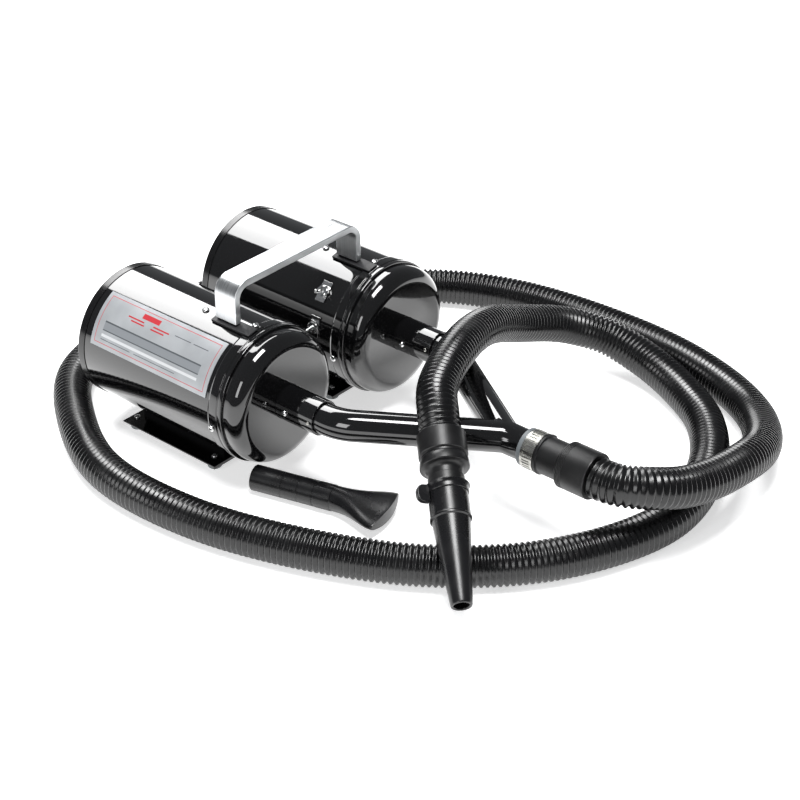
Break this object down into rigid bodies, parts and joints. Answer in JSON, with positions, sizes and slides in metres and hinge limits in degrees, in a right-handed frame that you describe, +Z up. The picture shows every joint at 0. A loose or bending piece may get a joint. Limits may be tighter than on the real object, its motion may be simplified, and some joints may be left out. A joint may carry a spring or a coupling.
{
  "type": "pet dryer",
  "caption": "Pet dryer for grooming or a clinic: side-by-side motor canisters with a handle feed a Y pipe, a corrugated hose with a cone nozzle, and a spare flat nozzle.",
  "frame": {"origin": "on the floor, at the middle of the box round the machine without its hose", "axes": "+Z up, +Y to the rear of the canisters, the outlet pipe points along -Y, +X to the right when seen from the pipe end looking at the canisters' front along +Y"},
  "size_m": [0.6511, 0.78, 0.218],
  "materials": {
    "gloss_black_steel": "gloss",
    "black_plastic": "satin",
    "filter_foam": "matte",
    "cast_aluminium": "cast",
    "motor_steel": "machined",
    "black_rubber": "matte",
    "chrome": "polished",
    "stainless": "satin",
    "grey_rubber": "matte",
    "brushed_aluminium": "brushed",
    "label_film": "satin",
    "cuff_plastic": "satin",
    "hose_plastic": "satin",
    "nozzle_plastic": "satin"
  },
  "bodies": {
    "machine": {"body_tube_left": "gloss_black_steel", "front_cap_left": "gloss_black_steel", "outlet_sleeve_left": "gloss_black_steel", "base_plate_left": "gloss_black_steel", "motor_housing_left": "cast_aluminium", "motor_mount_left": "black_rubber", "handle_pad_left": "black_rubber", "sleeve_screw_left": "chrome", "screw_top_rear_left": "chrome", "screw_top_front_left": "chrome", "screw_side_left": "chrome", "sleeve_rivet_left": "stainless", "foot_rear_outer_left": "grey_rubber", "foot_rear_inner_left": "grey_rubber", "foot_front_outer_left": "grey_rubber", "foot_front_inner_left": "grey_rubber", "body_tube_right": "gloss_black_steel", "front_cap_right": "gloss_black_steel", "outlet_sleeve_right": "gloss_black_steel", "base_plate_right": "gloss_black_steel", "motor_housing_right": "cast_aluminium", "motor_mount_right": "black_rubber", "handle_pad_right": "black_rubber", "sleeve_screw_right": "chrome", "screw_top_rear_right": "chrome", "screw_top_front_right": "chrome", "screw_side_right": "chrome", "sleeve_rivet_right": "stainless", "foot_rear_outer_right": "grey_rubber", "foot_rear_inner_right": "grey_rubber", "foot_front_outer_right": "grey_rubber", "foot_front_inner_right": "grey_rubber", "switch_body_upper": "chrome", "switch_plate_upper": "chrome", "switch_body_lower": "chrome", "switch_plate_lower": "chrome", "cord_gland": "black_rubber", "wire_conduit": "black_rubber", "handle": "brushed_aluminium", "label_plate": "label_film", "y_manifold": "gloss_black_steel", "seal_ring": "grey_rubber", "hose_clamp_band": "stainless", "machine_cuff": "cuff_plastic", "nozzle_cuff": "cuff_plastic", "hose": "hose_plastic"},
    "lever_upper": {"toggle_lever_upper": "chrome"},
    "lever_lower": {"toggle_lever_lower": "chrome"},
    "rotor_left": {"motor_rotor_left": "motor_steel"},
    "rotor_right": {"motor_rotor_right": "motor_steel"},
    "intake_left": {"rear_cap_left": "black_plastic", "filter_left": "filter_foam"},
    "intake_right": {"rear_cap_right": "black_plastic", "filter_right": "filter_foam"},
    "clamp_worm": {"clamp_screw": "stainless"},
    "collar": {"locking_collar": "nozzle_plastic"},
    "cone": {"cone_nozzle": "nozzle_plastic"},
    "spare_nozzle": {"flat_nozzle": "nozzle_plastic"}
  },
  "joints": [
    {"name": "upper_toggle", "type": "hinge", "parent": "machine", "child": "lever_upper", "pos_m": [0.03658, 0.089, 0.14601], "axis": [0, 1, 0], "range_deg": [0, 46]},
    {"name": "lower_toggle", "type": "hinge", "parent": "machine", "child": "lever_lower", "pos_m": [0.01733, 0.087, 0.10982], "axis": [0, 1, 0], "range_deg": [0, 46]},
    {"name": "rotor_spin_left", "type": "hinge", "parent": "machine", "child": "rotor_left", "pos_m": [-0.0945, 0.16, 0.092], "axis": [0, 1, 0], "continuous": true},
    {"name": "rotor_spin_right", "type": "hinge", "parent": "machine", "child": "rotor_right", "pos_m": [0.0945, 0.16, 0.092], "axis": [0, 1, 0], "continuous": true},
    {"name": "intake_pull_left", "type": "slide", "parent": "machine", "child": "intake_left", "axis": [0, 1, 0], "range_m": [0, 0.02]},
    {"name": "intake_pull_right", "type": "slide", "parent": "machine", "child": "intake_right", "axis": [0, 1, 0], "range_m": [0, 0.02]},
    {"name": "clamp_tighten", "type": "hinge", "parent": "machine", "child": "clamp_worm", "pos_m": [0.0264, -0.2365, 0.092], "axis": [0, 0, 1], "continuous": true},
    {"name": "collar_twist", "type": "hinge", "parent": "machine", "child": "collar", "pos_m": [-0.065, -0.1617, 0.121], "axis": [-0.6157, -0.6475, -0.4491], "range_deg": [0, 45]},
    {"name": "cone_twist", "type": "hinge", "parent": "machine", "child": "cone", "pos_m": [-0.065, -0.1617, 0.121], "axis": [-0.6157, -0.6475, -0.4491], "range_deg": [0, 30]},
    {"name": "spare_nozzle_slide", "type": "slide", "parent": "machine", "child": "spare_nozzle", "axis": [0.2751, -0.9614, 0], "range_m": [0, 0.04]}
  ]
}
